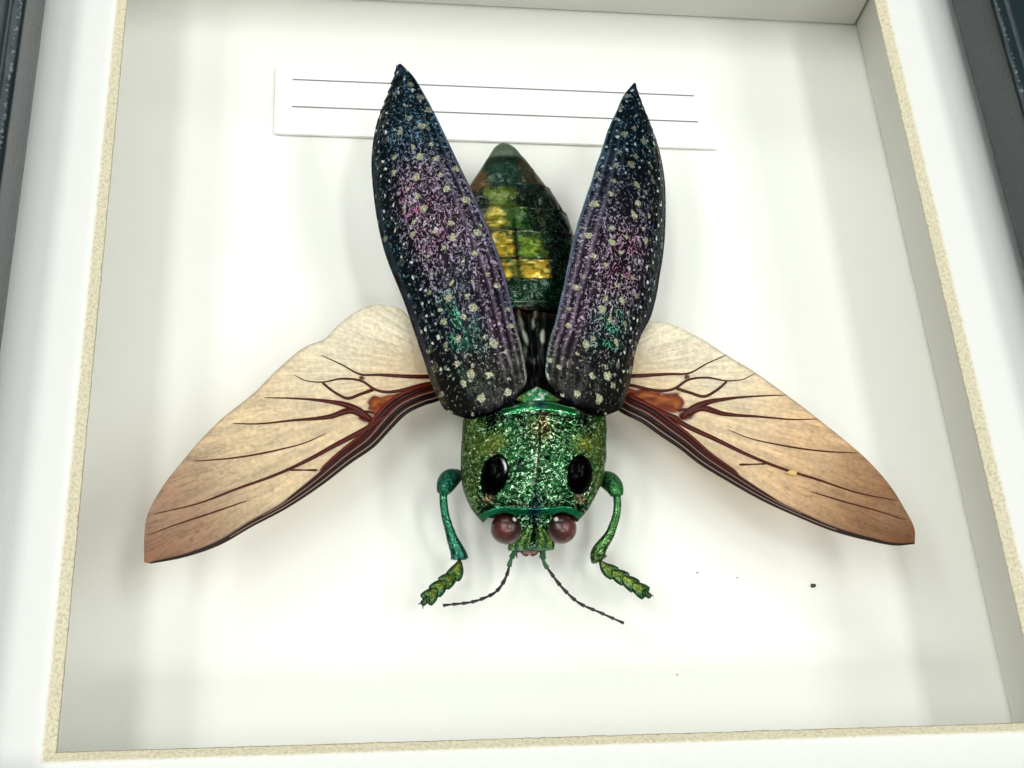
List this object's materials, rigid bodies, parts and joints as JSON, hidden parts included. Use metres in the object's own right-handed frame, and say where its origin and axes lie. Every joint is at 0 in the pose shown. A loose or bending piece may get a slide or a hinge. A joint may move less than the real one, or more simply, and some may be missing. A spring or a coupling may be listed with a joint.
{
  "type": "framed jewel beetle in a shadow-box case",
  "caption": "Glazed shadow-box case with a bevelled mat window, holding a mounted jewel beetle with raised wing cases and spread hind wings above a bare label.",
  "frame": {"origin": "under the middle of the case, on the plane of its rear rims", "axes": "+Z from the back panel to the glass, +Y from the beetle's head to its tail, +X to the right seen through the glass"},
  "size_m": [0.13, 0.134, 0.032],
  "materials": {
    "black_painted_wood": "black paint, satin, worn light along the edges",
    "clear_glass": "clear float glass",
    "white_mat_board": "matt white face with a cream bevel",
    "white_foam_board": "matt, faintly green-grey",
    "white_backing_card": "matt white",
    "label_paper": "matt white with plain ruled lines",
    "brown_fibreboard": "raw pressed fibreboard",
    "zinc_plated_steel": "bright zinc plate",
    "clear_glue": "dried clear glue",
    "emerald_cuticle": "iridescent emerald, coarsely pitted",
    "dark_green_cuticle": "dark green, wrinkled",
    "gold_green_cuticle": "iridescent dark green and gold bands",
    "violet_black_cuticle": "violet to blue-black, wrinkled, with pale spots",
    "amber_wing_membrane": "translucent tan with dark red-brown veins",
    "teal_cuticle": "iridescent teal to yellow-green",
    "brown_black_cuticle": "dark brown, green at the base"
  },
  "bodies": {
    "root": {"frame_rail_left": "black_painted_wood", "frame_rail_right": "black_painted_wood", "frame_rail_bottom": "black_painted_wood", "frame_rail_top": "black_painted_wood", "glass_pane": "clear_glass", "mat_board": "white_mat_board", "spacer_left": "white_foam_board", "spacer_right": "white_foam_board", "spacer_bottom": "white_foam_board", "spacer_top": "white_foam_board", "backing_board": "white_backing_card", "label": "label_paper", "back_panel": "brown_fibreboard", "tab_bottom_left": "zinc_plated_steel", "tab_bottom_right": "zinc_plated_steel", "tab_top_left": "zinc_plated_steel", "tab_top_right": "zinc_plated_steel", "glue_pad": "clear_glue", "head": "emerald_cuticle", "pronotum": "emerald_cuticle", "thorax": "dark_green_cuticle", "abdomen": "gold_green_cuticle", "elytron_left": "violet_black_cuticle", "elytron_right": "violet_black_cuticle", "hindwing_left": "amber_wing_membrane", "hindwing_right": "amber_wing_membrane", "antenna_left": "brown_black_cuticle", "antenna_right": "brown_black_cuticle", "leg_front_left": "teal_cuticle", "leg_front_right": "teal_cuticle", "leg_middle_left": "teal_cuticle", "leg_middle_right": "teal_cuticle", "leg_hind_left": "teal_cuticle", "leg_hind_right": "teal_cuticle"}
  },
  "joints": []
}
